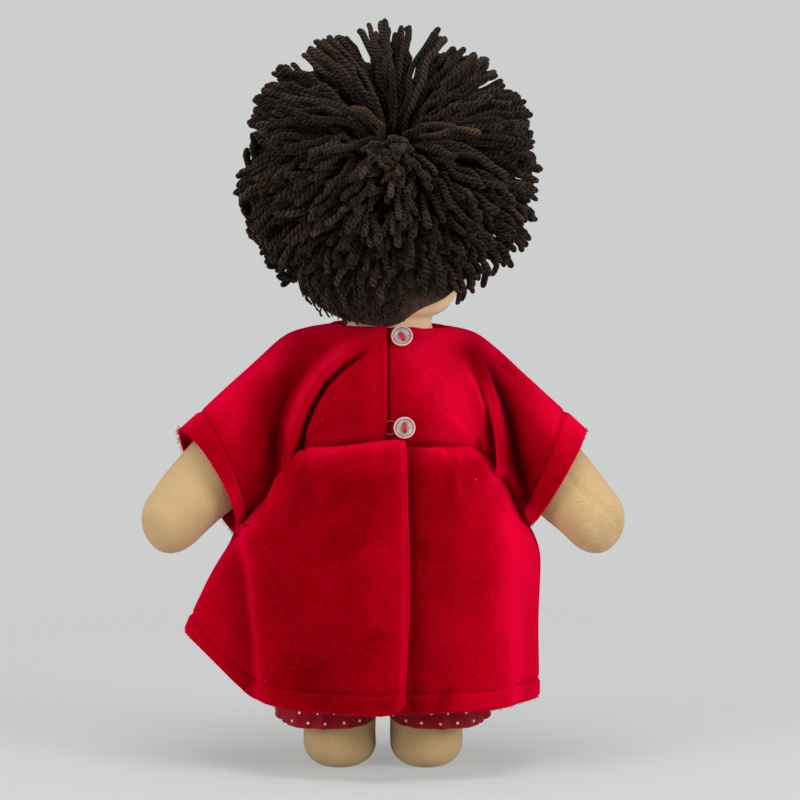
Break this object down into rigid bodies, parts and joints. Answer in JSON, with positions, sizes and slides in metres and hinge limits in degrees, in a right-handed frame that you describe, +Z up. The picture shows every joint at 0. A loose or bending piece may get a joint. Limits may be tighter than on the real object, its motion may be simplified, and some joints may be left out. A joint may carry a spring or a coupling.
{
  "type": "cloth doll",
  "caption": "Standing limbed cloth doll with a yarn pompom head of hair, in a velvet dress that buttons at the back, over printed cotton shorts.",
  "frame": {"origin": "on the floor between the feet, at the bottom centre of the doll's box", "axes": "+Z up, the doll faces -Y, and its left hand is on the +X side"},
  "size_m": [0.2296, 0.1454, 0.3541],
  "materials": {
    "knit_skin": "fine ribbed cotton knit, matt",
    "stuffing": "loose wool wadding",
    "hair_yarn": "plied wool yarn, very dark brown",
    "cap_felt": "short brushed pile, very dark brown",
    "velvet": "red stretch velvet with a soft sheen",
    "shorts_print": "plain weave cotton, dark red with small pale pin dots",
    "elastic": "covered elastic tape",
    "pearl_button": "pearly, polished",
    "button_thread": "red sewing thread",
    "neck_thread": "strong waxed thread",
    "face_thread": "embroidery thread",
    "mouth_thread": "embroidery thread"
  },
  "bodies": {
    "trunk": {"trunk_skin": "knit_skin", "trunk_stuffing": "stuffing", "shorts_left": "shorts_print", "shorts_right": "shorts_print", "shorts_elastic": "elastic", "bodice_front": "velvet", "bodice_back_left": "velvet", "bodice_back_right": "velvet", "skirt_back_left": "velvet", "skirt_back_right": "velvet", "button_top": "pearl_button", "button_top_thread": "button_thread", "button_low": "pearl_button", "button_low_thread": "button_thread"},
    "head": {"head_skin": "knit_skin", "head_stuffing": "stuffing", "neck_thread": "neck_thread", "eye_left": "face_thread", "eye_right": "face_thread", "mouth": "mouth_thread", "hair_cap": "cap_felt", "hair_yarn": "hair_yarn"},
    "arm_left": {"arm_left_skin": "knit_skin", "arm_left_stuffing": "stuffing", "sleeve_left": "velvet"},
    "arm_right": {"arm_right_skin": "knit_skin", "arm_right_stuffing": "stuffing", "sleeve_right": "velvet"},
    "leg_left": {"leg_left_skin": "knit_skin", "leg_left_stuffing": "stuffing"},
    "leg_right": {"leg_right_skin": "knit_skin", "leg_right_stuffing": "stuffing"},
    "skirt_front": {"skirt_front": "velvet"}
  },
  "joints": [
    {"name": "head_turn", "type": "hinge", "parent": "trunk", "child": "head", "pos_m": [-0.003, 0, 0.203], "axis": [0, 0, 1], "range_deg": [-45, 45]},
    {"name": "arm_left_swing", "type": "hinge", "parent": "trunk", "child": "arm_left", "pos_m": [0.0333, 0, 0.181], "axis": [-1, 0, 0], "range_deg": [-30, 90]},
    {"name": "arm_right_swing", "type": "hinge", "parent": "trunk", "child": "arm_right", "pos_m": [-0.0333, 0, 0.181], "axis": [-1, 0, 0], "range_deg": [-30, 90]},
    {"name": "leg_left_swing", "type": "hinge", "parent": "trunk", "child": "leg_left", "pos_m": [0.0208, 0, 0.095], "axis": [-1, 0, 0], "range_deg": [0, 90], "deforming": ["shorts_left", "shorts_right"]},
    {"name": "leg_right_swing", "type": "hinge", "parent": "trunk", "child": "leg_right", "pos_m": [-0.0208, 0, 0.095], "axis": [-1, 0, 0], "range_deg": [0, 90]},
    {"name": "skirt_front_lift", "type": "hinge", "parent": "trunk", "child": "skirt_front", "pos_m": [0, -0.035, 0.15], "axis": [-1, 0, 0], "range_deg": [0, 72]}
  ],
  "couplings": [
    {"joint": "leg_right_swing", "follows": "leg_left_swing", "ratio": 1},
    {"joint": "skirt_front_lift", "follows": "leg_left_swing", "ratio": 0.8}
  ]
}
